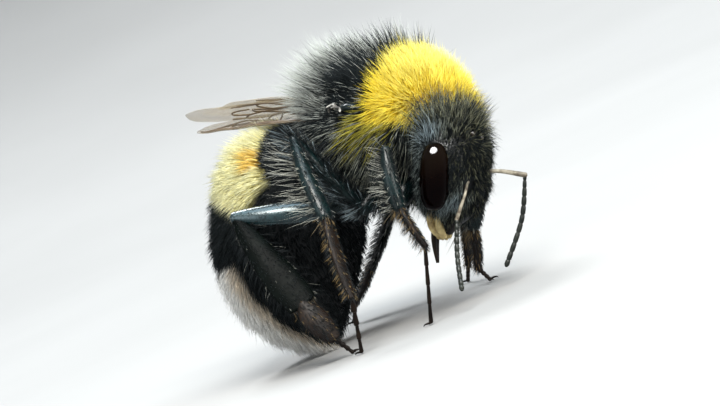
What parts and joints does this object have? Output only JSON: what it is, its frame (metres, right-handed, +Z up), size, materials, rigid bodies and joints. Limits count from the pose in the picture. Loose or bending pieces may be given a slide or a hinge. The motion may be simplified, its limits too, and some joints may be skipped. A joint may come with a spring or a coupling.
{
  "type": "bumblebee",
  "caption": "Life-size bumblebee worker standing with head low and abdomen hanging down: furry black body, yellow collar and band, white tail, amber wings.",
  "frame": {"origin": "middle of the footprint box, at the level of the soles", "axes": "+Z up, the head points to -Y and the bee's left is +X"},
  "size_m": [0.009, 0.0132, 0.009],
  "materials": {
    "coat_black": "soft black fur with grey tips",
    "coat_yellow": "dense bright yellow fur",
    "coat_white": "dense white fur, buff at its edge",
    "shell_black": "glossy black cuticle",
    "shell_brown": "brown cuticle with short tan hairs",
    "eye_brown": "glossy dark red-brown",
    "wing_amber": "clear brown-tinted membrane with brown veins"
  },
  "bodies": {
    "root": {"abdomen_1": "coat_black", "abdomen_2": "coat_yellow", "abdomen_3": "coat_black", "abdomen_4": "coat_white", "abdomen_5": "coat_white", "abdomen_6": "coat_white", "basitarsus_front_left": "shell_black", "basitarsus_front_right": "shell_black", "basitarsus_hind_left": "shell_black", "basitarsus_hind_right": "shell_black", "basitarsus_mid_left": "shell_black", "basitarsus_mid_right": "shell_black", "coxa_front_left": "shell_black", "coxa_front_right": "shell_black", "coxa_hind_left": "shell_black", "coxa_hind_right": "shell_black", "coxa_mid_left": "shell_black", "coxa_mid_right": "shell_black", "eye_left": "eye_brown", "eye_right": "eye_brown", "femur_front_left": "shell_black", "femur_front_right": "shell_black", "femur_hind_left": "shell_black", "femur_hind_right": "shell_black", "femur_mid_left": "shell_black", "femur_mid_right": "shell_black", "flagellum_left": "shell_black", "flagellum_right": "shell_black", "forewing_left": "wing_amber", "forewing_right": "wing_amber", "head": "coat_black", "hindwing_left": "wing_amber", "hindwing_right": "wing_amber", "mandible_left": "shell_brown", "mandible_right": "shell_brown", "proboscis": "shell_brown", "scape_left": "shell_black", "scape_right": "shell_black", "tarsus_front_left": "shell_brown", "tarsus_front_right": "shell_brown", "tarsus_hind_left": "shell_brown", "tarsus_hind_right": "shell_brown", "tarsus_mid_left": "shell_brown", "tarsus_mid_right": "shell_brown", "tegula_left": "shell_black", "tegula_right": "shell_black", "thorax": "coat_black", "tibia_front_left": "shell_black", "tibia_front_right": "shell_black", "tibia_hind_left": "shell_black", "tibia_hind_right": "shell_black", "tibia_mid_left": "shell_black", "tibia_mid_right": "shell_black"}
  },
  "joints": []
}
